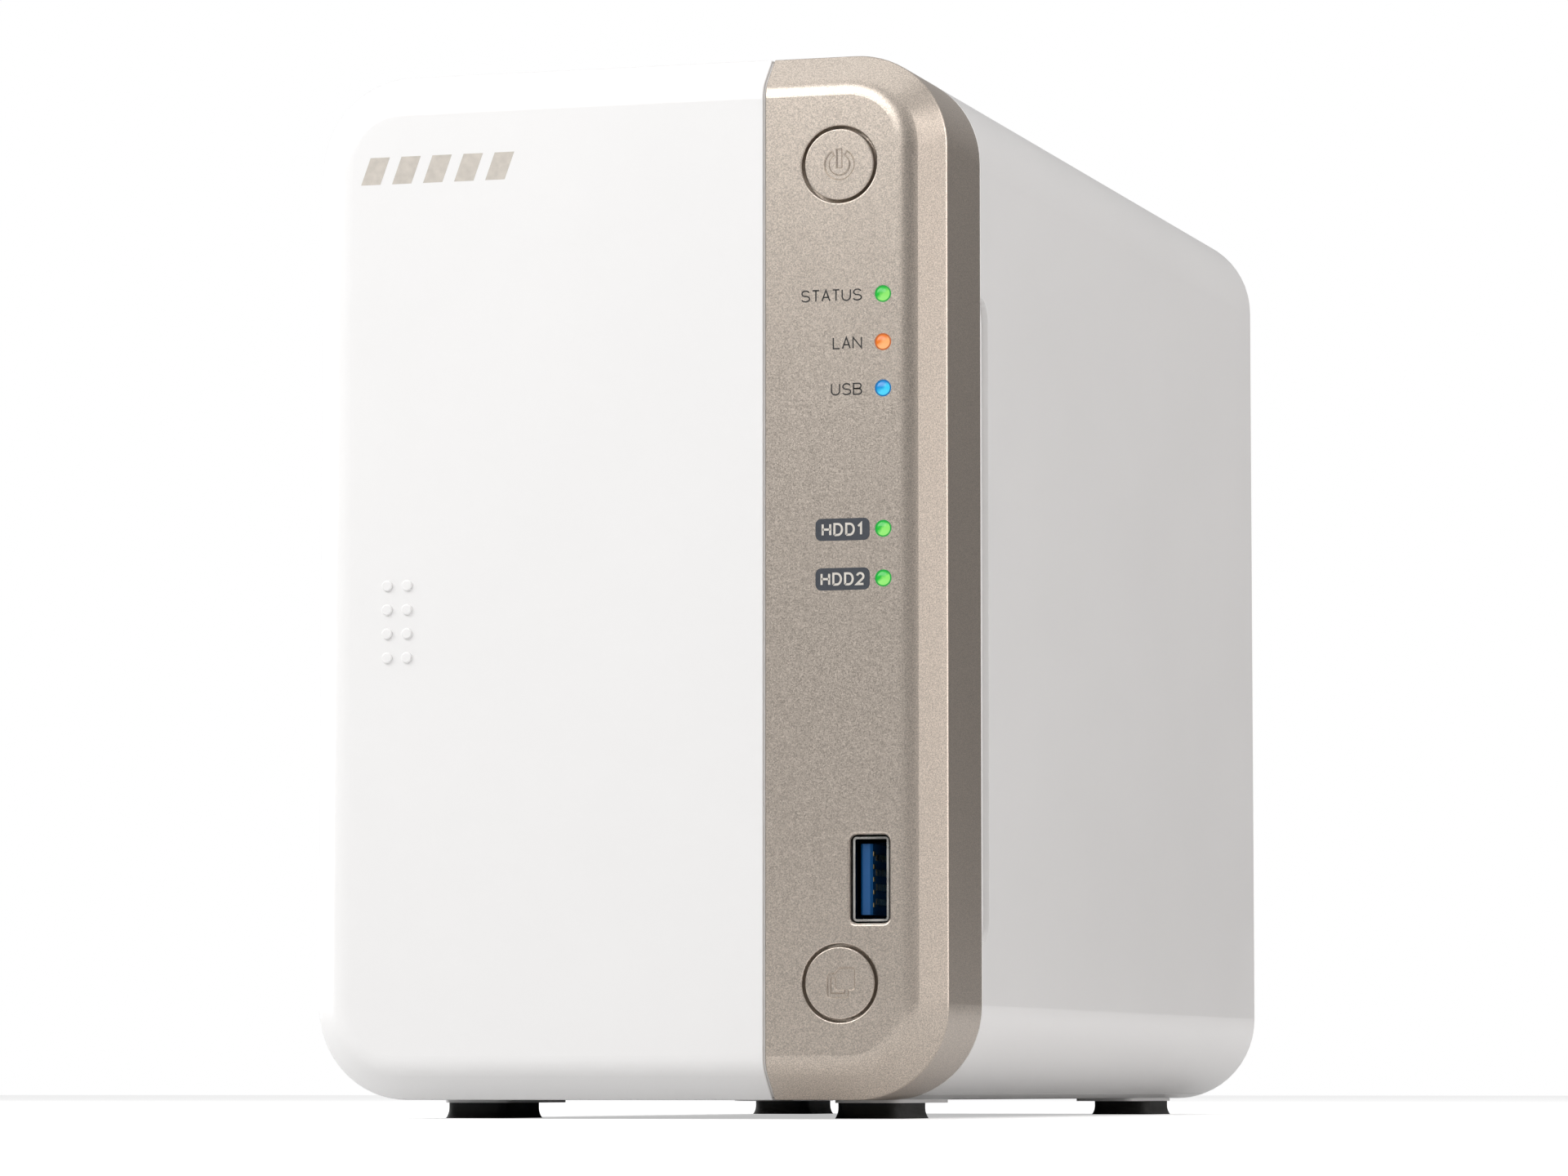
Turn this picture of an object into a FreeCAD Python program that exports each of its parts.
"""Compact two-bay network storage unit: a white rounded housing, a sliding white front cover,
a champagne-coloured control bezel, two drive trays, a mainboard and a rear fan.

Frame: +Z up, front face towards -Y, origin at the middle of the footprint on the surface that the
rubber feet stand on. Millimetres. Every function below makes one piece, or one group of like pieces.
Helper coordinates: across(x) counts from the left wall, inward(d) from the front face.
"""
import FreeCAD
import Part
import math
import os

Vec = FreeCAD.Vector

# ---- driving dimensions -------------------------------------------------------------------------
WIDTH = 105.0            # outside, left to right
DEPTH = 226.0            # front face to rear rim
HEIGHT = 168.0           # surface to top
FOOT_HEIGHT = 3.0        # housing's underside above the surface
CORNER = 15.0            # corner radius of the housing seen from the front
BEVEL = 5.1              # bevel round the front face of the cover and the bezel
BEVEL_SOFT = 4.5         # rounding between the face and the bevel
BEVEL_CREASE = 0.7       # rounding between the bevel and the sides
WALL = 2.0               # moulded wall thickness
FRONT_DEPTH = 25.0       # how far the front cover and the bezel wrap back
SEAM = 0.2               # gap between mouldings that meet
SLIP = 0.3               # clearance between a moving moulding and what it slides on
PROUD = 0.45             # grip dots and rear screw heads stand out by this
LIP = 0.25               # rounding or bevel of the mouldings' visible edges

DOOR_RIGHT = 76.2        # right edge of the front cover
BEZEL_LEFT = 76.55       # left edge of the control bezel
RETURN_WALL = 1.5        # side walls that stiffen both mouldings at the seam
LEDGE_RIGHT = 76.4       # the cover's ledge closes the seam between them
LEDGE_INSET = 0.5        # and lies this far below the surface

DOT_RADIUS = 0.88        # grip dots, two columns of four
DOT_LEFT = 13.3
DOT_LOW = 73.5
DOT_STEP_X = 3.37
DOT_STEP_Z = 3.86

BUTTON_X = 88.7          # both buttons' centre line
POWER_Z = 150.0
COPY_Z = 21.2
BUTTON_HOLE = 6.15       # radius
BUTTON_CAP = 5.65        # radius
BUTTON_RIM = 0.22        # rounding of the caps' and the holes' edges
BUTTON_GUIDE = 7.1       # radius inside the guide behind each hole
LED_X = 95.85            # lamp centre line
LED_RADIUS = 1.25
LED_Z = {"status": 129.2, "lan": 121.6, "usb": 114.3, "hdd1": 92.2, "hdd2": 84.4}
USB_X = 93.55
USB_Z = 37.4
USB_SHELL_T = 5.8        # USB type A shell, outside, thin way
USB_SHELL_W = 13.2       # and wide way
SHELL_CORNER = 0.6
USB_MOUTH_D = 0.9        # front port's shell starts this far behind the front face
TONGUE_INSET = 1.4       # USB tongues end this far inside their shells
SHEET = 0.35             # connector shell sheet

FRONT_BOARD_D = 15.0     # front of the front circuit board
BOARD = 1.6              # circuit board thickness

ICON_DEPTH = 0.3         # how deep the buttons' signs are sunk
ICON_SLOPE = 0.2         # bevel of the signs' edges

FRAME_D = (18.0, 32.0)   # the front frame's depth span
BAY_WIDTH = 32.0
BAY_LEFT = (5.0, 39.6)   # left wall of each bay
BAY_Z = (20.0, 140.0)    # the bays' openings in the front frame
TRAY_MID_Z = 80.0        # drive centre height
DRIVE_T = 26.1           # 3.5 inch drive
DRIVE_W = 101.6
DRIVE_L = 147.0
DRIVE_D = 34.0           # front of the drives
DRIVE_HOLES = (46.0, 104.0)      # screw holes' distance from the drive's front
DRIVE_LOW = TRAY_MID_Z - DRIVE_W / 2
DRIVE_HIGH = TRAY_MID_Z + DRIVE_W / 2
TRAY_FRONT_D = 24.0      # front of the tray's face plate
TRAY_FACE_T = 6.0
TRAY_FACE_Z = (22.0, 138.0)
TRAY_SLIP = 0.35         # clearance round the trays and the drives
RAIL = 3.2               # rail and its ear, in height
EAR = 1.8
EAR_INSET = 10.0         # ears' distance from the bay's walls

HANDLE_D = 18.4          # front of the tray handles
HANDLE_LENGTH = 26.5
HANDLE_T = 3.6
HANDLE_Z = (29.4, 130.6)
PIVOT_X = 3.4            # handle pivot, from the bay's left wall
PIVOT_D = HANDLE_D + 2.6
PIVOT_RADIUS = 0.9
PIVOT_PLAY = 0.06
LATCH_HALF = 8.0         # half the release key's height

CAGE_LEFT = 3.6          # outer faces of the cage
CAGE_RIGHT = 73.2
CAGE_D = (32.2, 184.0)
CAGE_Z = (21.0, 139.0)
BACKPLANE_D = 186.2
BACKPLANE_X = (5.0, 76.0)
BACKPLANE_Z = (26.0, 134.0)
MAINBOARD_X = 76.4
MAINBOARD_D = (36.0, 221.5)
MAINBOARD_Z = (14.0, 156.0)
FACE_X = MAINBOARD_X + BOARD     # the mainboard's component side
RIBBON_Z = (51.5, 64.5)
COIN_PLACE = (44.0, 74.0)        # height, and distance from the front face
COIN_RADIUS = 10.0

BASE_SCREWS = ((20.0, 60.0), (60.0, 60.0), (20.0, 174.0), (60.0, 174.0))         # (x, d)
STANDOFFS = ((32.0, 48.0), (32.0, 172.0), (128.0, 48.0), (128.0, 172.0))         # (z, d)
COVER_SCREWS = ((12.0, 160.0), (93.0, 160.0), (98.0, 20.0), (7.5, 20.0))         # (x, z)
BOARD_SCREWS = ((84.0, 74.0), (84.0, 136.0))                                     # (x, z)

PANEL_D = 223.0          # front of the rear panel
PANEL_T = 1.0
PORT_END = PANEL_D + PANEL_T     # ports finish flush with the rear panel
PORT_MARGIN = 0.25               # clearance round each port in the panel
ESATA_Z, STACK_Z, SINGLE_Z, LAN_Z, RESET_Z, POWER_IN_Z = 143.0, 121.0, 99.0, 76.0, 58.0, 38.0
SINGLE_X = FACE_X + USB_SHELL_T / 2
STACK_X = (SINGLE_X, SINGLE_X + 7.6)
USB_ROOT_D = 209.0               # inner end of the rear USB shells
ESATA_X = FACE_X + 3.0
ESATA_HALF_X, ESATA_HALF_Z = 2.8, 7.2
LAN_X = FACE_X + 6.9
LAN_HALF_X, LAN_HALF_Z = 6.8, 8.0
LOCK_SLOT = (29.5, 19.5)         # centre of the lock slot, (x, z)
JACK_X = FACE_X + 5.6
JACK_RADIUS = 4.2
RESET_X = FACE_X + 5.0

FAN_SIZE = 70.0
FAN_THICK = 25.0
FAN_X = 38.3
FAN_Z = 80.0
FAN_BOLTS = 60.0         # hole spacing of a 70 mm fan
RING_GAPS = (40.0, 26.0, 18.0, 14.0, 11.0, 9.5)  # degrees between the grille's slots, from the inside out
FAN_REAR = PANEL_D - 0.1
FAN_FRONT = FAN_REAR - FAN_THICK
HUB_RADIUS = 14.0
BLADE_RADIUS = 31.6
BLADES = 7
SHAFT_RADIUS = 1.5

BASE_LEFT = 10.0         # side edges of the base tray
BASE_RIGHT = WIDTH - BASE_LEFT
BASE_HEIGHT = 10.0       # everything of the base tray is lower than this above the underside
FOOT_X = 33.1            # feet's distance from the middle, left and right
FOOT_D = (35.0, 206.0)   # feet's distance from the front face
FOOT_WIDTH = 10.5        # foot at its top, across
FOOT_LENGTH = 17.8       # and front to back
FOOT_ROUND = 2.0         # corner radius
FOOT_PAD = 2.5           # height of the rubber below the plinth
FLARE = 0.55             # the foot widens by this on each side where it meets the ground
FLARE_HEIGHT = 1.7

BOTTOM = FOOT_HEIGHT
TOP = HEIGHT


# ---- helpers ------------------------------------------------------------------------------------
def across(x):
    """X of a place counted from the left wall."""
    return x - WIDTH / 2


def inward(d):
    """Y of a place counted from the front face."""
    return d - DEPTH / 2


def block(x0, x1, d0, d1, z0, z1):
    """Box between two places across, two inward and two heights."""
    return Part.makeBox(x1 - x0, d1 - d0, z1 - z0, Vec(across(x0), inward(d0), z0))


def rod(x, z, radius, d0, d1):
    """Cylinder along Y."""
    return Part.makeCylinder(radius, d1 - d0, Vec(across(x), inward(d0), z), Vec(0, 1, 0))


def post(x, d, radius, z0, z1):
    """Cylinder along Z."""
    return Part.makeCylinder(radius, z1 - z0, Vec(across(x), inward(d), z0), Vec(0, 0, 1))


def stud(z, d, radius, x0, x1):
    """Cylinder along X."""
    return Part.makeCylinder(radius, x1 - x0, Vec(across(x0), inward(d), z), Vec(1, 0, 0))


def joined(first, *others):
    """One solid, or one compound, of pieces that meet."""
    shape = first
    for other in others:
        shape = shape.fuse(other)
    return shape.removeSplitter()


def less(shape, *cutters):
    for cutter in cutters:
        shape = shape.cut(cutter)
    return shape


def edges_along(shape, axis, near=None):
    """Straight edges parallel to an axis, at places that near() accepts."""
    found = []
    for edge in shape.Edges:
        a, b = edge.Vertexes[0].Point, edge.Vertexes[-1].Point
        if edge.Curve.TypeId == "Part::GeomLine" and (b - a).normalize().isEqual(axis, 1e-6):
            found.append(edge)
        elif edge.Curve.TypeId == "Part::GeomLine" and (a - b).normalize().isEqual(axis, 1e-6):
            found.append(edge)
    if near:
        found = [e for e in found if near(e.CenterOfMass)]
    return found


def rounded_block(x0, x1, d0, d1, z0, z1, radius, axis=Vec(0, 1, 0)):
    """Box with the four edges along an axis rounded."""
    shape = block(x0, x1, d0, d1, z0, z1)
    return shape.makeFillet(radius, edges_along(shape, axis))


def edges_at_depth(shape, d):
    """Edges that lie wholly in the plane d inward from the front."""
    y = inward(d)
    return [e for e in shape.Edges if max(abs(e.BoundBox.YMin - y), abs(e.BoundBox.YMax - y)) < 1e-4]


def edges_across(shape, x):
    """Edges that lie wholly in the plane x from the left wall."""
    place = across(x)
    return [e for e in shape.Edges if max(abs(e.BoundBox.XMin - place), abs(e.BoundBox.XMax - place)) < 1e-4]


def edges_on(form, edges):
    """Those of the edges whose middles lie on the surface of form."""
    surface = form.Shells[0]
    found = []
    for edge in edges:
        middle = Part.Vertex(edge.valueAt((edge.FirstParameter + edge.LastParameter) / 2))
        if surface.distToShape(middle)[0] < 1e-3:
            found.append(edge)
    return found


def housing_form(inset, d0, d1):
    """The housing's rounded outline, moved in by inset, as a solid between two depths."""
    return rounded_block(inset, WIDTH - inset, d0, d1, BOTTOM + inset, TOP - inset, CORNER - inset)


def front_form(inset):
    """The front end's solid form with its bevelled edge, moved in by inset."""
    bevel = BEVEL - inset * (2 - math.sqrt(2))
    shape = housing_form(inset, inset, FRONT_DEPTH + (1.0 if inset else 0.0))
    shape = shape.makeChamfer(bevel, edges_at_depth(shape, inset))
    if BEVEL_CREASE > inset:
        shape = shape.makeFillet(BEVEL_CREASE - inset, edges_at_depth(shape, inset + bevel))
    return shape.makeFillet(BEVEL_SOFT - inset, edges_at_depth(shape, inset))


def circle_edges(shape, radius, d):
    """Round edges of one radius in the plane d inward."""
    return [e for e in edges_at_depth(shape, d)
            if e.Curve.TypeId == "Part::GeomCircle" and abs(e.Curve.Radius - radius) < 1e-3]


def group(shapes):
    """Several separate solids in one node."""
    return Part.makeCompound(shapes)


def save(name, shape):
    for solid in shape.Solids:
        if not solid.isValid():
            print("warning: a solid of", name, "is not valid")
    if not shape.Solids:
        raise ValueError(name + " has no solid")
    shape.exportStep("parts/" + name + ".step")


# ---- front mouldings ----------------------------------------------------------------------------
def front_shell():
    return front_form(0.0).cut(front_form(WALL))


def frame_rib(x, top):
    """A rib inside the cover or the bezel, which engages the front frame's groove."""
    height, root, length = 1.5, 0.2, 10.0
    inner_top, inner_bottom = TOP - WALL, BOTTOM + WALL
    z0, z1 = (inner_top - height, inner_top + root) if top else (inner_bottom - root, inner_bottom + height)
    return block(x, x + length, 20.3, 22.1, z0, z1)


def grip_dot(x, z):
    """A low flat-topped dot on the cover's face, with a rounded rim."""
    dot = rod(x, z, DOT_RADIUS, -PROUD, 0.3)
    return dot.makeFillet(LIP, circle_edges(dot, DOT_RADIUS, -PROUD))


def soft_rim(shape, seam_x):
    """Rounds a front moulding's visible edges, at the seam in the middle and at its rear end."""
    edges = edges_across(shape, seam_x) + edges_at_depth(shape, FRONT_DEPTH)
    return shape.makeFillet(LIP, edges_on(front_form(0.0), edges))


def front_cover():
    """White cover over the drive bays. It slides off to the left."""
    form = front_form(0.0)
    shell = front_shell().common(block(-1, DOOR_RIGHT, -1, FRONT_DEPTH + 1, 0, TOP + 1))
    wall = form.common(block(DOOR_RIGHT - RETURN_WALL, DOOR_RIGHT, -1, 8.0, 0, TOP + 1))
    ribs = [frame_rib(x, top) for x in (20.0, 55.0) for top in (False, True)]
    dots = [grip_dot(DOT_LEFT + DOT_STEP_X * column, DOT_LOW + DOT_STEP_Z * row)
            for column in range(2) for row in range(4)]
    ledge = front_form(LEDGE_INSET).cut(front_form(WALL))
    ledge = ledge.common(block(DOOR_RIGHT - 0.5, LEDGE_RIGHT, -1, FRONT_DEPTH - LEDGE_INSET, 0, TOP + 1))
    cover = soft_rim(joined(shell, wall, *ribs), DOOR_RIGHT)
    return joined(cover, ledge, *dots)


def opening(x, z, half_x, half_z, d0, d1, radius):
    """Rounded cutter along Y, centred on a port."""
    return rounded_block(x - half_x, x + half_x, d0, d1, z - half_z, z + half_z, radius)


def control_bezel():
    """Champagne-painted bezel with the buttons, lamps and front port."""
    form = front_form(0.0)
    shell = front_shell().common(block(BEZEL_LEFT, WIDTH + 1, -1, FRONT_DEPTH + 1, 0, TOP + 1))
    wall = form.common(block(BEZEL_LEFT, BEZEL_LEFT + RETURN_WALL, -1, 17.5, 0, TOP + 1))
    ribs = [frame_rib(82.0, top) for top in (False, True)]
    guides = [rod(BUTTON_X, z, BUTTON_GUIDE + 1.2, WALL - 0.1, 6.5) for z in (POWER_Z, COPY_Z)]
    bezel = joined(soft_rim(joined(shell, wall, *ribs), BEZEL_LEFT), *guides)
    for z in (POWER_Z, COPY_Z):
        bezel = bezel.cut(rod(BUTTON_X, z, BUTTON_HOLE, -1, WALL + 1))
        bezel = bezel.cut(rod(BUTTON_X, z, BUTTON_GUIDE, WALL, 7))
    for z in LED_Z.values():
        bezel = bezel.cut(rod(LED_X, z, LED_RADIUS + 0.1, -1, WALL + 1))
    half_x, half_z = USB_SHELL_T / 2 + 0.3, USB_SHELL_W / 2 + 0.3
    bezel = bezel.cut(opening(USB_X, USB_Z, half_x, half_z, -1, WALL + 1, 1.0))
    port_edges = [e for e in edges_at_depth(bezel, 0)
                  if abs(e.CenterOfMass.x - across(USB_X)) < 4.5 and abs(e.CenterOfMass.z - USB_Z) < 8.5]
    bezel = bezel.makeFillet(0.5, port_edges)
    return bezel.makeFillet(BUTTON_RIM, circle_edges(bezel, BUTTON_HOLE, 0))


def groove(z0, z1):
    """Groove for the cover's and the bezel's ribs, open to the left."""
    return block(-1, 93.0, 20.0, 22.4, z0, z1)


def front_frame():
    """Inner frame: holds the bezel, guides the cover and leaves the two bays open."""
    front, rear = FRAME_D[0] - 1, FRAME_D[1] + 1
    web = FRAME_D[0] + 2.5
    frame = housing_form(WALL + SLIP, *FRAME_D)
    for left in BAY_LEFT:
        frame = frame.cut(block(left, left + BAY_WIDTH, front, rear, *BAY_Z))
    frame = frame.cut(block(76.0, WIDTH - WALL - 3.0, web, rear, 12.0, 159.0))
    frame = frame.cut(block(8.0, 72.0, web, rear, BAY_Z[1] + 4.0, 160.0))
    frame = frame.cut(block(80.0, 92.0, front, web + 0.5, RIBBON_Z[0] - 1.5, RIBBON_Z[1] + 1.5))
    groove_depth = 1.6
    upper = groove(TOP - WALL - SLIP - groove_depth, TOP + 1)
    lower = groove(0, BOTTOM + WALL + SLIP + groove_depth)
    frame = less(frame, upper, lower)
    bosses = [rod(x, z, 2.6, FRONT_BOARD_D + BOARD, 18.2) for x, z in BOARD_SCREWS]
    pilots = [rod(x, z, 1.0, FRONT_BOARD_D, 21.0) for x, z in BOARD_SCREWS]
    return less(joined(frame, *bosses), *pilots)


def cover_recess(side):
    """Shallow upright recess in the housing's side, just behind the front mouldings."""
    depth, length, low, high = 1.0, 4.6, 28.0, 131.2
    x0, x1 = (WIDTH - depth, WIDTH + 1) if side > 0 else (-1, depth)
    shape = block(x0, x1, FRONT_DEPTH - 2, FRONT_DEPTH + length, low, high)
    rear = [e for e in edges_along(shape, Vec(1, 0, 0)) if e.CenterOfMass.y > inward(FRONT_DEPTH)]
    return shape.makeFillet(3.6, rear)


def housing_shell(d0, d1):
    return housing_form(0.0, d0, d1).cut(housing_form(WALL, d0 - 1, d1 + 1))


def outer_cover():
    """White housing: both sides, the top and the lower corners in one moulding."""
    d0 = FRONT_DEPTH + SEAM
    shell = housing_shell(d0, DEPTH)
    ends = edges_at_depth(shell, d0) + edges_at_depth(shell, DEPTH)
    shell = shell.makeChamfer(LIP, edges_on(housing_form(0.0, d0 - 1, DEPTH + 1), ends))
    base_gap = block(BASE_LEFT - SEAM, BASE_RIGHT + SEAM, d0 - 1, DEPTH + 1, 0, BOTTOM + BASE_HEIGHT)
    shell = less(shell, base_gap, cover_recess(1), cover_recess(-1))
    outline = housing_form(WALL - 0.2, 214.0, PANEL_D - 0.15)
    bosses = [outline.common(rod(x, z, 6.0, 214.0, PANEL_D - 0.15)) for x, z in COVER_SCREWS]
    pilots = [rod(x, z, 1.25, 215.0, PANEL_D + 1) for x, z in COVER_SCREWS]
    return less(joined(shell, *bosses), *pilots)


def foot_places():
    return [(WIDTH / 2 + side * FOOT_X, d) for d in FOOT_D for side in (-1, 1)]


def plinth(x, d):
    """Raised pad that carries a foot, longer towards the middle of the housing."""
    step = 1 if d < DEPTH / 2 else -1
    margin, tail = 0.4, 12.4
    d0, d1 = sorted((d - step * (FOOT_LENGTH / 2 + margin), d + step * (FOOT_LENGTH / 2 + tail)))
    half = FOOT_WIDTH / 2 + margin
    return rounded_block(x - half, x + half, d0, d1, FOOT_PAD, BOTTOM + 1.2, FOOT_ROUND, Vec(0, 0, 1))


def base_tray():
    """Floor of the housing, with foot pads, air slots and tongues inside the housing's lips."""
    d0, d1 = FRONT_DEPTH + SEAM * 2, DEPTH - SEAM
    room = block(BASE_LEFT, BASE_RIGHT, d0 - 1, DEPTH, 0, BOTTOM + BASE_HEIGHT)
    floor = housing_shell(d0, d1).common(room)
    tongue = housing_form(WALL + 0.15, 34.0, 221.0).cut(housing_form(WALL + 1.6, 33.0, 222.0))
    tongue = tongue.common(block(6.0, WIDTH - 6.0, 33.0, 222.0, 0, BOTTOM + BASE_HEIGHT))
    neck = block(BASE_LEFT + 8, BASE_RIGHT - 8, 34.0, 221.0, BOTTOM + 1.0, BOTTOM + WALL + 1.6)
    tray = joined(floor, tongue, neck, *[plinth(x, d) for x, d in foot_places()])
    for row in range(8):
        d = 72.0 + 13.0 * row
        slot = block(30.0, 75.0, d, d + 3.0, 0, BOTTOM + 6.0)
        tray = tray.cut(slot.makeFillet(1.4, edges_along(slot, Vec(0, 0, 1))))
    for x, d in foot_places():
        tray = tray.cut(post(x, d, 2.5, 0, BOTTOM + 6.0))
    for x, d in BASE_SCREWS:
        tray = less(tray, post(x, d, 1.7, 0, BOTTOM + 6.0), post(x, d, 3.4, 0, BOTTOM + 1.2))
    return tray


def foot_outline(x, d, z, grow):
    """A foot's rounded outline at one height, wider by grow on each side."""
    half_x, half_d = FOOT_WIDTH / 2 + grow, FOOT_LENGTH / 2 + grow
    form = rounded_block(x - half_x, x + half_x, d - half_d, d + half_d, z, z + 1, FOOT_ROUND + grow,
                         Vec(0, 0, 1))
    return [f for f in form.Faces if f.normalAt(0, 0).z < -0.9][0].OuterWire


def foot(x, d):
    """Rubber foot: a pad with a hollow-curved flare, and a plug that presses into the base."""
    curve = (FLARE ** 2 + FLARE_HEIGHT ** 2) / (2 * FLARE)
    steps = 5
    outlines = [foot_outline(x, d, FOOT_PAD, 0.0)]
    for n in range(steps + 1):
        fall = FLARE_HEIGHT * n / steps
        outlines.append(foot_outline(x, d, FLARE_HEIGHT - fall, curve - math.sqrt(curve ** 2 - fall ** 2)))
    return joined(Part.makeLoft(outlines, True, True), post(x, d, 2.45, FOOT_PAD - 0.1, BOTTOM + 5.0))


def feet():
    return group([foot(x, d) for x, d in foot_places()])


# ---- buttons, lamps and the front board ---------------------------------------------------------
def arc_band(x, z, inner, outer, start, end, d0, d1):
    """Part of a flat ring facing the front, from one angle to another, in degrees."""
    def at(radius, degrees):
        turn = math.radians(degrees)
        return Vec(across(x) + radius * math.cos(turn), inward(d0), z + radius * math.sin(turn))
    middle = (start + end) / 2
    outline = Part.Wire([
        Part.Arc(at(outer, start), at(outer, middle), at(outer, end)).toShape(),
        Part.LineSegment(at(outer, end), at(inner, end)).toShape(),
        Part.Arc(at(inner, end), at(inner, middle), at(inner, start)).toShape(),
        Part.LineSegment(at(inner, start), at(outer, start)).toShape(),
    ])
    return Part.Face(outline).extrude(Vec(0, d1 - d0, 0))


def power_icon():
    ring = arc_band(BUTTON_X, POWER_Z, 1.75, 2.35, 122.0, 418.0, -0.5, ICON_DEPTH)
    bar = block(BUTTON_X - 0.35, BUTTON_X + 0.35, -0.5, ICON_DEPTH, POWER_Z - 0.5, POWER_Z + 2.35)
    return [ring, bar]


def copy_icon():
    """Two sheets, one behind the other, with a raised L between them and one corner folded."""
    x, z, low = BUTTON_X, COPY_Z, -0.5
    sheet = rounded_block(x - 0.75, x + 2.3, low, ICON_DEPTH, z - 1.0, z + 2.3, 0.4)
    fold = block(-0.5, 0.5, low - 1, 1, -0.5, 0.5)
    fold.rotate(Vec(across(0), 0, 0), Vec(0, 1, 0), 45)
    fold.translate(Vec(x - 0.75, 0, z + 2.3))
    behind = rounded_block(x - 2.0, x + 1.3, low, ICON_DEPTH, z - 2.2, z + 1.4, 0.4)
    land = block(x - 1.55, x + 0.8, low - 0.1, 1, z - 1.65, z + 0.9)
    return [sheet.cut(fold), behind.cut(land)]


def button(z, icon):
    """Round cap with a retaining flange and a stem that pushes the switch."""
    cap = less(rod(BUTTON_X, z, BUTTON_CAP, 0.0, 2.6), *icon)
    rim = circle_edges(cap, BUTTON_CAP, 0.0)
    signs = [e for e in edges_at_depth(cap, 0.0) if not any(e.isSame(other) for other in rim)]
    cap = cap.makeChamfer(ICON_SLOPE, signs)
    cap = cap.makeFillet(BUTTON_RIM, circle_edges(cap, BUTTON_CAP, 0.0))
    flange = rod(BUTTON_X, z, BUTTON_CAP + 1.1, 2.4, 3.4)
    stem = rod(BUTTON_X, z, 2.0, 3.3, 9.6)
    tip = rod(BUTTON_X, z, 1.3, 9.5, 12.0)
    return joined(cap, flange, stem, tip)


def tact_switches():
    """Push switches on the front board; each takes the tip of a button's stem."""
    return group([block(BUTTON_X - 3.1, BUTTON_X + 3.1, 10.8, FRONT_BOARD_D, z - 3.1, z + 3.1)
                  .cut(rod(BUTTON_X, z, 1.6, 10.0, 13.4)) for z in (POWER_Z, COPY_Z)])


def led_lens(z):
    """Lamp lens: a light guide with a domed end just proud of the bezel."""
    guide = rod(LED_X, z, LED_RADIUS, 0.15, 13.6)
    dome = Part.makeSphere(2.4, Vec(across(LED_X), inward(-0.2) + 2.4, z))
    return joined(guide, dome.common(rod(LED_X, z, LED_RADIUS, -0.4, 0.4)))


def light_pipe_holder():
    """Black carrier that keeps the five light guides apart."""
    half, low, high = 2.6, LED_Z["hdd2"], LED_Z["status"]
    holder = block(LED_X - half, LED_X + half, 4.0, 9.0, low - 5.0, high + 5.0)
    legs = [block(LED_X - half, LED_X + half, 8.9, FRONT_BOARD_D, z - 1.0, z + 1.0)
            for z in (low - 4.0, (LED_Z["hdd1"] + LED_Z["usb"]) / 2, high + 4.0)]
    guides = [rod(LED_X, z, LED_RADIUS + 0.05, 3, 10) for z in LED_Z.values()]
    return less(joined(holder, *legs), *guides)


def led_emitters():
    return group([block(LED_X - 1.0, LED_X + 1.0, 13.8, FRONT_BOARD_D, z - 0.8, z + 0.8)
                  for z in LED_Z.values()])


def front_board():
    board = block(79.2, 101.0, FRONT_BOARD_D, FRONT_BOARD_D + BOARD, 13.0, 158.0)
    return less(board, *[rod(x, z, 1.6, 14, 18) for x, z in BOARD_SCREWS])


def screw(x, z, d0, d1, shank, head, head_height):
    """Screw along Y whose head faces the front."""
    thin, wide, bottom = 0.3, 1.2, d0 + 0.7
    cross = [block(x - thin, x + thin, d0 - 1, bottom, z - wide, z + wide),
             block(x - wide, x + wide, d0 - 1, bottom, z - thin, z + thin)]
    return less(joined(rod(x, z, head, d0, d0 + head_height), rod(x, z, shank, d0 + 0.1, d1)), *cross)


def front_board_screws():
    return group([screw(x, z, 13.2, 20.0, 0.98, 2.6, 1.8) for x, z in BOARD_SCREWS])


def usb_shell(x, z, d0, d1):
    """USB type A shell: a folded sheet box with its thin side across."""
    half_x, half_z = USB_SHELL_T / 2, USB_SHELL_W / 2
    outer = opening(x, z, half_x, half_z, d0, d1, SHELL_CORNER)
    return outer.cut(opening(x, z, half_x - SHEET, half_z - SHEET, d0 - 1, d1 + 1, SHELL_CORNER - SHEET))


def usb_tongue(x, z, tip, root, side):
    """Blue insulator: a base block at the shell's root, and the tongue that carries the contacts."""
    base_end = root + math.copysign(3.5, tip - root)
    x0, x1 = sorted((x + side * 0.2, x + side * 2.1))
    base = block(x - 2.45, x + 2.45, *sorted((root, base_end)), z - 6.1, z + 6.1)
    tongue = block(x0, x1, *sorted((base_end, tip)), z - 5.55, z + 5.55)
    tip_edges = edges_along(tongue, Vec(0, 0, 1), lambda p: abs(p.y - inward(tip)) < 0.1)
    return joined(base, tongue.makeChamfer(0.35, tip_edges))


def front_usb_shell():
    return usb_shell(USB_X, USB_Z, USB_MOUTH_D, FRONT_BOARD_D)


def front_usb_tongue():
    return usb_tongue(USB_X, USB_Z, USB_MOUTH_D + TONGUE_INSET, FRONT_BOARD_D, -1)


def front_ribbon():
    """Flat cable from the front board, through the frame, to the mainboard."""
    thick, (z0, z1) = 0.5, RIBBON_Z
    path = [(86.0, 20.0), (86.0, 24.5), (80.5, 33.0), (80.5, 40.0)]
    outline = path + [(x + thick, d) for x, d in reversed(path)]
    points = [Vec(across(x), inward(d), z0) for x, d in outline]
    return Part.Face(Part.makePolygon(points + points[:1])).extrude(Vec(0, 0, z1 - z0))


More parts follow.
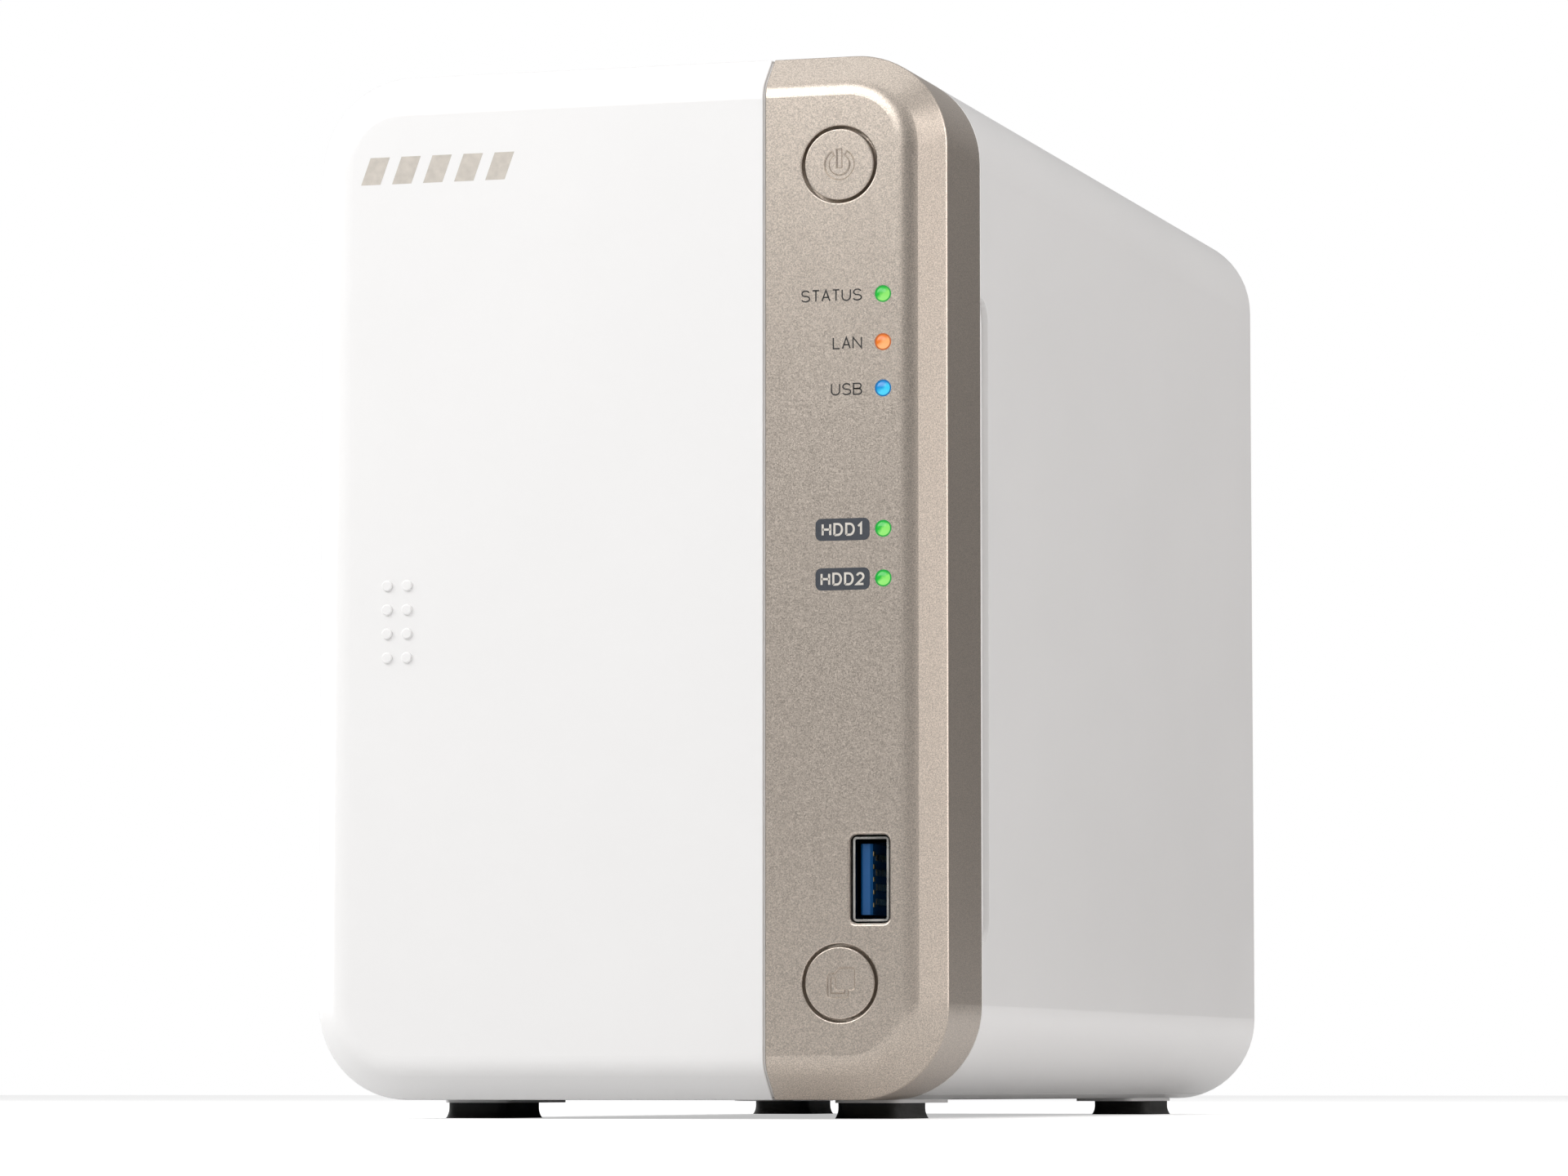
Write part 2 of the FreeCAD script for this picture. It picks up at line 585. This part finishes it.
def ribbon_sockets():
    """Sockets that the flat cable plugs into, one on each board."""
    z0, z1 = RIBBON_Z[0] - 1.0, RIBBON_Z[1] + 1.0
    return group([block(83.8, 88.7, FRONT_BOARD_D + BOARD, 20.0, z0, z1),
                  block(FACE_X, FACE_X + 4.6, 40.0, 45.0, z0, z1)])


# ---- drives and trays ---------------------------------------------------------------------------
def tray(left):
    """Tray: ventilated face plate, two rails with guide ears, and lugs for the handle."""
    x0, x1 = left + TRAY_SLIP, left + BAY_WIDTH - TRAY_SLIP
    face_end = TRAY_FRONT_D + TRAY_FACE_T
    face = rounded_block(x0, x1, TRAY_FRONT_D, face_end, *TRAY_FACE_Z, 2.0)
    grille = [block(x0 + 5, x1 - 5, TRAY_FRONT_D - 1, face_end + 1, 38.0 + 7.0 * n, 41.0 + 7.0 * n)
              for n in range(12)]
    face = less(face, *grille)
    pieces = []
    for edge, way in ((DRIVE_LOW, -1), (DRIVE_HIGH, 1)):
        inner = edge + way * TRAY_SLIP
        z0, z1 = sorted((inner, inner + way * RAIL))
        pieces.append(block(left + 3.0, left + BAY_WIDTH - 3.0, face_end - 0.1, 178.0, z0, z1))
        z0, z1 = sorted((inner + way * (RAIL - 0.1), inner + way * (RAIL + EAR)))
        pieces.append(block(left + EAR_INSET, left + BAY_WIDTH - EAR_INSET, 34.0, 176.0, z0, z1))
    lugs = [block(left + 0.9, left + 6.4, HANDLE_D + 1.0, TRAY_FRONT_D + 0.1, z, z + 3.0)
            for z in (HANDLE_Z[0] - 3.3, HANDLE_Z[1] + 0.3)]
    pivot = post(left + PIVOT_X, PIVOT_D, PIVOT_RADIUS + PIVOT_PLAY, HANDLE_Z[0] - 5, HANDLE_Z[1] + 5)
    holes = [post(left + BAY_WIDTH / 2, DRIVE_D + d, 1.7, edge - 7, edge + 7)
             for d in DRIVE_HOLES for edge in (DRIVE_LOW, DRIVE_HIGH)]
    return less(joined(face, *pieces, *lugs), pivot, *holes)


def tray_handle(left):
    """Swing-out lever along the tray's face, on two stub pivots at its left."""
    z0, z1 = HANDLE_Z
    x0 = left + PIVOT_X
    x1 = x0 + HANDLE_LENGTH
    lever = block(x0, x1, HANDLE_D, HANDLE_D + HANDLE_T, z0, z1)
    free_end = [e for e in edges_along(lever, Vec(0, 0, 1))
                if e.CenterOfMass.x > across(x1 - 1) and e.CenterOfMass.y < inward(HANDLE_D + 1)]
    lever = lever.makeFillet(1.6, free_end)
    barrel = post(x0, PIVOT_D, 2.3, z0, z1)
    stubs = post(x0, PIVOT_D, PIVOT_RADIUS, z0 - 2.8, z1 + 2.8)
    window = rounded_block(x0 + 7.0, x1 - 7.5, HANDLE_D - 1, HANDLE_D + 8, 44.0, 116.0, 3.0)
    reach = LATCH_HALF + SLIP
    pocket = block(x1 - 6.5, x1 - 1.5, HANDLE_D - 1, HANDLE_D + 8, TRAY_MID_Z - reach, TRAY_MID_Z + reach)
    return less(joined(lever, barrel, stubs), window, pocket)


def tray_latch(left):
    """Release key in the handle's free end, with a ribbed thumb face."""
    x1 = left + PIVOT_X + HANDLE_LENGTH
    low, high, rib = TRAY_MID_Z - LATCH_HALF, TRAY_MID_Z + LATCH_HALF, 0.8
    key = block(x1 - 6.2, x1 - 1.8, HANDLE_D + 0.1, HANDLE_D + 2.6, low, high)
    places = [TRAY_MID_Z - rib / 2 + 2.5 * n for n in range(-2, 3)]
    ribs = [block(x1 - 5.7, x1 - 2.3, HANDLE_D - 0.3, HANDLE_D + 0.2, z, z + rib) for z in places]
    return joined(key, *ribs)


def drive_left(left):
    """Left face of the drive in a bay."""
    return left + (BAY_WIDTH - DRIVE_T) / 2


def drive_case(left):
    """Cast aluminium drive case."""
    x0, end = drive_left(left), DRIVE_D + DRIVE_L
    case = block(x0 + 1.8, x0 + DRIVE_T - 0.8, DRIVE_D, end, DRIVE_LOW, DRIVE_HIGH)
    case = case.makeFillet(2.0, edges_along(case, Vec(1, 0, 0)))
    socket = block(x0 + 1.0, x0 + 7.7, end - 8.0, end + 1, DRIVE_LOW + 9.0, DRIVE_LOW + 56.0)
    holes = [post(left + BAY_WIDTH / 2, DRIVE_D + d, 1.5, edge - 3.4, edge + 3.4)
             for d in DRIVE_HOLES for edge in (DRIVE_LOW, DRIVE_HIGH)]
    return less(case, socket, *holes)


def drive_lid(left):
    """Pressed steel lid with a raised round middle."""
    x0 = drive_left(left) + DRIVE_T - 0.8
    rim = 1.5
    plate = rounded_block(x0, x0 + 0.5, DRIVE_D + rim, DRIVE_D + DRIVE_L - rim, DRIVE_LOW + rim,
                          DRIVE_HIGH - rim, 3.0, Vec(1, 0, 0))
    return joined(plate, stud(TRAY_MID_Z, DRIVE_D + 55.0, 40.0, x0 + 0.4, x0 + 0.8))


def drive_screws(left):
    """Four screws from the rails into the drive's edges."""
    screws = []
    for d in DRIVE_HOLES:
        for edge, way in ((DRIVE_LOW, -1), (DRIVE_HIGH, 1)):
            z0, z1 = sorted((edge - way * 3.0, edge + way * 4.6))
            screws.append(post(left + BAY_WIDTH / 2, DRIVE_D + d, 1.4, z0, z1))
    return group(screws)


def drive_cage():
    """Moulded cage: outer walls, a divider, and a guide groove above and below each tray."""
    front, rear = CAGE_D[0] - 1, CAGE_D[1] + 1
    cage = block(CAGE_LEFT, CAGE_RIGHT, *CAGE_D, *CAGE_Z)
    room_low = DRIVE_LOW - 2 * TRAY_SLIP - RAIL
    room_high = DRIVE_HIGH + 2 * TRAY_SLIP + RAIL
    for left in BAY_LEFT:
        room = block(left, left + BAY_WIDTH, front, rear, room_low, room_high)
        slot_inset = EAR_INSET - TRAY_SLIP
        slots = block(left + slot_inset, left + BAY_WIDTH - slot_inset, front, rear,
                      room_low - EAR, room_high + EAR)
        cage = less(cage, room, slots)
    windows = [block(CAGE_LEFT - 1, CAGE_RIGHT + 1, d, d + 26.0, 45.0, 115.0) for d in (60.0, 98.0, 136.0)]
    cage = less(cage, *windows)
    floor, half = BOTTOM + WALL + 1.75, 6.0
    legs = [block(x - half, x + half, d - half, d + half, floor, CAGE_Z[0] + 0.1) for x, d in BASE_SCREWS]
    cage = joined(cage, *legs)
    cage = less(cage, *[post(x, d, 1.3, BOTTOM, 16.0) for x, d in BASE_SCREWS])
    return less(cage, *[stud(z, d, 1.2, CAGE_RIGHT - 1.2, CAGE_RIGHT + 1) for z, d in STANDOFFS])


def base_screws():
    """Screws from below into the cage's legs."""
    head_low, head_high = BOTTOM + 0.2, BOTTOM + 1.15
    return group([joined(post(x, d, 1.25, head_low + 0.7, 14.0), post(x, d, 3.2, head_low, head_high))
                  for x, d in BASE_SCREWS])


def board_standoffs():
    """Spacers between the cage and the mainboard."""
    bore = (1.2, CAGE_RIGHT - 1, MAINBOARD_X + 1)
    return group([stud(z, d, 2.6, CAGE_RIGHT, MAINBOARD_X).cut(stud(z, d, *bore)) for z, d in STANDOFFS])


def board_screws():
    """Screws that hold the mainboard on its spacers."""
    head, tip = FACE_X, CAGE_RIGHT - 1.0
    return group([joined(stud(z, d, 2.8, head, head + 1.7), stud(z, d, 1.15, tip, head + 0.1))
                  for z, d in STANDOFFS])


# ---- electronics --------------------------------------------------------------------------------
def backplane():
    """Upright board behind the drives, with air windows."""
    board = block(*BACKPLANE_X, BACKPLANE_D, BACKPLANE_D + BOARD, *BACKPLANE_Z)
    windows = [rounded_block(x, x + 20.0, BACKPLANE_D - 1, BACKPLANE_D + 3, 92.0, 122.0, 2.0)
               for x in (12.0, 46.0)]
    return less(board, *windows)


def sata_sockets():
    """A drive socket per bay, on the backplane."""
    sockets = []
    drive_end = DRIVE_D + DRIVE_L
    for left in BAY_LEFT:
        x = drive_left(left)
        shell = block(x + 1.2, x + 7.3, drive_end - 6.0, BACKPLANE_D, DRIVE_LOW + 10.0, DRIVE_LOW + 55.0)
        slot = block(x + 3.4, x + 5.1, drive_end - 7.0, drive_end - 1.0, DRIVE_LOW + 12.0, DRIVE_LOW + 53.0)
        sockets.append(shell.cut(slot))
    return group(sockets)


def mainboard():
    board = block(MAINBOARD_X, FACE_X, *MAINBOARD_D, *MAINBOARD_Z)
    return less(board, *[stud(z, d, 1.6, MAINBOARD_X - 1, MAINBOARD_X + 3) for z, d in STANDOFFS])


def heatsink():
    """Finned block on the processor."""
    d0, d1, low = 90.0, 130.0, 60.0
    fin, step, count = 1.3, 3.9, 11
    base = block(FACE_X + 1.2, FACE_X + 4.2, d0, d1, low, low + step * (count - 1) + fin)
    fins = [block(FACE_X + 4.1, FACE_X + 17.0, d0, d1, low + step * n, low + step * n + fin)
            for n in range(count)]
    return joined(base, *fins)


def mainboard_chips():
    """Processor under the heatsink, and four memory chips beside it."""
    processor = block(FACE_X, FACE_X + 1.2, 98.0, 122.0, 68.0, 92.0)
    memory = [block(FACE_X, FACE_X + 1.1, 66.0, 76.0, 60.0 + 14.0 * n, 71.0 + 14.0 * n) for n in range(4)]
    return group([processor, *memory])


def coin_cell():
    return stud(*COIN_PLACE, COIN_RADIUS, FACE_X + 1.2, FACE_X + 4.4)


def coin_cell_holder():
    pocket = stud(*COIN_PLACE, COIN_RADIUS + 0.1, FACE_X + 1.1, FACE_X + 5.0)
    return stud(*COIN_PLACE, COIN_RADIUS + 1.2, FACE_X, FACE_X + 4.0).cut(pocket)


def capacitors():
    """Round cans near the power input."""
    places = [(z, d) for z in (24.0, 34.0) for d in (150.0, 158.0)] + [(52.0, 110.0), (52.0, 118.0)]
    return group([stud(z, d, 3.1, FACE_X, FACE_X + 8.0) for z, d in places])


def coils():
    """Square power coils beside the processor."""
    side, places = 7.0, [(44.0, 136.0)] + [(106.0, d) for d in (100.0, 110.0, 120.0)]
    return group([rounded_block(FACE_X, FACE_X + 4.0, d, d + side, z, z + side, 1.2, Vec(1, 0, 0))
                  for z, d in places])


# ---- rear ports ---------------------------------------------------------------------------------
def esata_port():
    """External drive socket: a sheet shell round a contact blade."""
    root = 211.0
    outer = opening(ESATA_X, ESATA_Z, ESATA_HALF_X, ESATA_HALF_Z, root, PORT_END, SHELL_CORNER)
    inner = opening(ESATA_X, ESATA_Z, ESATA_HALF_X - SHEET, ESATA_HALF_Z - SHEET, root + 1, PORT_END + 1,
                    SHELL_CORNER - SHEET)
    blade = block(ESATA_X - 0.7, ESATA_X + 0.5, root + 0.5, PORT_END - 1.5, ESATA_Z - 4.6, ESATA_Z + 4.6)
    return joined(outer.cut(inner), blade)


def rear_usb_shells():
    """A stacked pair held by a spacer, and a single port below it."""
    pair = [usb_shell(x, STACK_Z, USB_ROOT_D, PORT_END) for x in STACK_X]
    inner_side = USB_SHELL_T / 2 - 0.1
    spacer = block(STACK_X[0] + inner_side, STACK_X[1] - inner_side, USB_ROOT_D, PANEL_D - 1,
                   STACK_Z - 5.0, STACK_Z + 5.0)
    return group([joined(*pair, spacer), usb_shell(SINGLE_X, SINGLE_Z, USB_ROOT_D, PORT_END)])


def rear_usb_tongues():
    places = ((STACK_X[0], STACK_Z), (STACK_X[1], STACK_Z), (SINGLE_X, SINGLE_Z))
    return group([usb_tongue(x, z, PORT_END - TONGUE_INSET, USB_ROOT_D, 1) for x, z in places])


def lan_port():
    """Network socket: a shielded box with a stepped opening for the plug and its clip."""
    mouth, bottom = PORT_END + 1, 209.0
    box = block(LAN_X - LAN_HALF_X, LAN_X + LAN_HALF_X, 203.0, PORT_END, LAN_Z - LAN_HALF_Z,
                LAN_Z + LAN_HALF_Z)
    plug = block(LAN_X - 4.4, LAN_X + 2.6, bottom, mouth, LAN_Z - 5.95, LAN_Z + 5.95)
    clip = block(LAN_X + 2.5, LAN_X + 5.6, bottom, mouth, LAN_Z - 3.1, LAN_Z + 3.1)
    lamps = [block(LAN_X + 3.4, LAN_X + 5.6, PORT_END - 2.0, mouth, z - 1.4, z + 1.4)
             for z in (LAN_Z - 5.6, LAN_Z + 5.6)]
    return less(box, plug, clip, *lamps)


def power_inlet():
    """Barrel socket for the external supply."""
    body = block(FACE_X, FACE_X + 11.2, 209.0, PANEL_D - 0.2, POWER_IN_Z - 4.6, POWER_IN_Z + 4.6)
    collar = rod(JACK_X, POWER_IN_Z, JACK_RADIUS, 215.0, PORT_END)
    return joined(body, collar).cut(rod(JACK_X, POWER_IN_Z, 3.2, 213.0, PORT_END + 1))


def power_inlet_pin():
    return rod(JACK_X, POWER_IN_Z, 1.2, 213.0, PORT_END - 1.0)


def reset_button():
    """Small recessed key behind a hole in the rear panel."""
    flange_d = 217.2
    flange = rod(RESET_X, RESET_Z, 2.4, flange_d, flange_d + 1.0)
    return joined(rod(RESET_X, RESET_Z, 1.4, flange_d + 0.8, PORT_END - 0.5), flange)


def reset_switch():
    return block(FACE_X, FACE_X + 8.0, 211.5, 216.5, RESET_Z - 3.0, RESET_Z + 3.0)


# ---- rear panel and fan -------------------------------------------------------------------------
def fan_bolts():
    """The fan's four corner holes, as (x, z)."""
    half = FAN_BOLTS / 2
    return [(FAN_X + i * half, FAN_Z + j * half) for i in (-1, 1) for j in (-1, 1)]


def slot_ring(radius, width, gap, d0, d1):
    """Four curved air slots round the fan's axis, gap degrees apart."""
    inner, outer = radius - width / 2, radius + width / 2
    starts = [45.0 + 90.0 * n + gap / 2 for n in range(4)]
    return [arc_band(FAN_X, FAN_Z, inner, outer, start, start + 90.0 - gap, d0, d1) for start in starts]


def rear_panel():
    """Painted steel plate with the fan grille, port openings and a lock slot."""
    d0, d1, gap = PANEL_D - 1, PORT_END + 1, PORT_MARGIN
    shell_x, shell_z, corner = USB_SHELL_T / 2 + gap, USB_SHELL_W / 2 + gap, SHELL_CORNER + gap
    stack_x, stack_half = sum(STACK_X) / 2, (STACK_X[1] - STACK_X[0]) / 2 + shell_x
    cutters = [rod(x, z, 2.1, d0, d1) for x, z in fan_bolts()]
    cutters += [rod(x, z, 1.7, d0, d1) for x, z in COVER_SCREWS]
    cutters += [
        opening(ESATA_X, ESATA_Z, ESATA_HALF_X + gap, ESATA_HALF_Z + gap, d0, d1, corner),
        opening(stack_x, STACK_Z, stack_half, shell_z, d0, d1, corner),
        opening(SINGLE_X, SINGLE_Z, shell_x, shell_z, d0, d1, corner),
        opening(LAN_X, LAN_Z, LAN_HALF_X + gap, LAN_HALF_Z + gap, d0, d1, gap),
        rod(JACK_X, POWER_IN_Z, JACK_RADIUS + gap, d0, d1),
        rod(RESET_X, RESET_Z, 1.6, d0, d1),
        opening(*LOCK_SLOT, 3.5, 1.5, d0, d1, 1.0),
    ]
    for n in range(6):
        cutters += slot_ring(6.8 + 4.6 * n, 3.1, RING_GAPS[n], d0, d1)
    cutters += [rounded_block(26.0 + 7.6 * n, 28.4 + 7.6 * n, d0, d1, 132.0, 156.0, 1.1) for n in range(7)]
    return less(housing_form(WALL + gap, PANEL_D, PORT_END), *cutters)


def rear_screw(x, z, shank, length):
    """Screw from behind; its domed head stands just proud of the housing's rim."""
    seat, end, radius = PORT_END + 0.02, DEPTH + PROUD, 3.1
    head = rod(x, z, radius, seat, end)
    head = head.makeFillet(1.1, circle_edges(head, radius, end))
    shaft = rod(x, z, shank, seat - length, seat + 0.1)
    thin, wide, bottom = 0.45, 1.9, end - 1.2
    cross = [block(x - thin, x + thin, bottom, end + 1, z - wide, z + wide),
             block(x - wide, x + wide, bottom, end + 1, z - thin, z + thin)]
    return less(joined(head, shaft), *cross)


def cover_screws():
    return group([rear_screw(x, z, 1.2, 7.0) for x, z in COVER_SCREWS])


def fan_screws():
    return group([rear_screw(x, z, 2.0, 8.0) for x, z in fan_bolts()])


def fan_frame():
    """Square frame with a round duct, four corner holes, three arms and the motor's base."""
    half = FAN_SIZE / 2
    x, z = FAN_X, FAN_Z
    frame = rounded_block(x - half, x + half, FAN_FRONT, FAN_REAR, z - half, z + half, 3.5)
    frame = frame.cut(rod(x, z, 32.6, FAN_FRONT - 1, FAN_REAR + 1))
    waist = rod(x, z, 80.0, FAN_FRONT + 4.5, FAN_REAR - 4.5).cut(rod(x, z, 34.2, FAN_FRONT, FAN_REAR))
    frame = frame.cut(waist)
    base = rod(x, z, 13.0, FAN_REAR - 3.2, FAN_REAR - 0.2)
    tube = rod(x, z, 4.0, FAN_FRONT + 7.0, FAN_REAR - 3.1)
    arms = []
    for turn in (30, 150, 270):
        arm = block(x + 11.5, x + 33.5, FAN_REAR - 3.2, FAN_REAR - 0.4, z - 2.0, z + 2.0)
        arm.rotate(Vec(across(x), 0, z), Vec(0, 1, 0), turn)
        arms.append(arm)
    frame = joined(frame, base, tube, *arms)
    holes = [rod(*place, 2.1, FAN_FRONT - 1, FAN_REAR + 1) for place in fan_bolts()]
    return less(frame, rod(x, z, 2.6, FAN_FRONT + 6.0, FAN_REAR - 1.5), *holes)


def fan_bearing():
    tube = rod(FAN_X, FAN_Z, 2.58, FAN_FRONT + 8.0, FAN_REAR - 3.0)
    return tube.cut(rod(FAN_X, FAN_Z, SHAFT_RADIUS + 0.03, FAN_FRONT, FAN_REAR))


def fan_shaft():
    return rod(FAN_X, FAN_Z, SHAFT_RADIUS, FAN_FRONT + 2.8, FAN_REAR - 3.2)


def blade(turn):
    """One swept fan blade: a twisted strip from the hub to its tip."""
    strips = []
    for radius, pitch in ((HUB_RADIUS - 0.8, 52.0), (22.0, 40.0), (BLADE_RADIUS, 30.0)):
        rise = math.radians(pitch)
        chord = 13.0 + 0.25 * (radius - HUB_RADIUS)
        middle = FAN_FRONT + 10.5
        ends = []
        for way in (-0.5, 0.5):
            around = way * chord * math.cos(rise) / radius
            depth = middle + way * chord * math.sin(rise)
            for side in (-0.6, 0.6):
                ends.append(Vec(across(FAN_X) + radius * math.cos(around), inward(depth + side),
                                FAN_Z + radius * math.sin(around)))
        order = [ends[0], ends[2], ends[3], ends[1], ends[0]]
        strips.append(Part.makePolygon(order))
    shape = Part.makeLoft(strips, True, False)
    shape.rotate(Vec(across(FAN_X), 0, FAN_Z), Vec(0, 1, 0), turn)
    return shape


def fan_rotor():
    hub = rod(FAN_X, FAN_Z, HUB_RADIUS, FAN_FRONT + 2.0, FAN_REAR - 4.6)
    hub = hub.makeFillet(1.5, circle_edges(hub, HUB_RADIUS, FAN_FRONT + 2.0))
    hollow = rod(FAN_X, FAN_Z, HUB_RADIUS - 1.6, FAN_FRONT + 6.4, FAN_REAR)
    bore = rod(FAN_X, FAN_Z, SHAFT_RADIUS, FAN_FRONT + 2.8, FAN_REAR)
    return less(joined(hub, *[blade(360.0 / BLADES * n) for n in range(BLADES)]), hollow, bore)


# ---- the whole object ---------------------------------------------------------------------------
def main():
    os.makedirs("parts", exist_ok=True)
    nodes = {
        "front_cover": front_cover(),
        "control_bezel": control_bezel(),
        "front_frame": front_frame(),
        "outer_cover": outer_cover(),
        "base_tray": base_tray(),
        "feet": feet(),
        "rear_panel": rear_panel(),
        "cover_screws": cover_screws(),
        "base_screws": base_screws(),
        "power_button": button(POWER_Z, power_icon()),
        "copy_button": button(COPY_Z, copy_icon()),
        "tact_switches": tact_switches(),
        "green_lamp_lenses": group([led_lens(LED_Z[name]) for name in ("status", "hdd1", "hdd2")]),
        "lan_lamp_lens": led_lens(LED_Z["lan"]),
        "usb_lamp_lens": led_lens(LED_Z["usb"]),
        "light_pipe_holder": light_pipe_holder(),
        "led_emitters": led_emitters(),
        "front_board": front_board(),
        "front_board_screws": front_board_screws(),
        "front_usb_shell": front_usb_shell(),
        "front_usb_tongue": front_usb_tongue(),
        "front_ribbon": front_ribbon(),
        "ribbon_sockets": ribbon_sockets(),
        "drive_cage": drive_cage(),
        "backplane": backplane(),
        "sata_sockets": sata_sockets(),
        "board_standoffs": board_standoffs(),
        "board_screws": board_screws(),
        "mainboard": mainboard(),
        "mainboard_chips": mainboard_chips(),
        "heatsink": heatsink(),
        "capacitors": capacitors(),
        "coils": coils(),
        "coin_cell": coin_cell(),
        "coin_cell_holder": coin_cell_holder(),
        "esata_port": esata_port(),
        "rear_usb_shells": rear_usb_shells(),
        "rear_usb_tongues": rear_usb_tongues(),
        "lan_port": lan_port(),
        "power_inlet": power_inlet(),
        "power_inlet_pin": power_inlet_pin(),
        "reset_button": reset_button(),
        "reset_switch": reset_switch(),
        "fan_frame": fan_frame(),
        "fan_bearing": fan_bearing(),
        "fan_rotor": fan_rotor(),
        "fan_shaft": fan_shaft(),
        "fan_screws": fan_screws(),
    }
    for bay, left in enumerate(BAY_LEFT, start=1):
        nodes["tray_%d" % bay] = tray(left)
        nodes["tray_handle_%d" % bay] = tray_handle(left)
        nodes["tray_latch_%d" % bay] = tray_latch(left)
        nodes["drive_case_%d" % bay] = drive_case(left)
        nodes["drive_lid_%d" % bay] = drive_lid(left)
        nodes["drive_screws_%d" % bay] = drive_screws(left)
    for name, shape in nodes.items():
        save(name, shape)
    print(len(nodes), "nodes")


main()
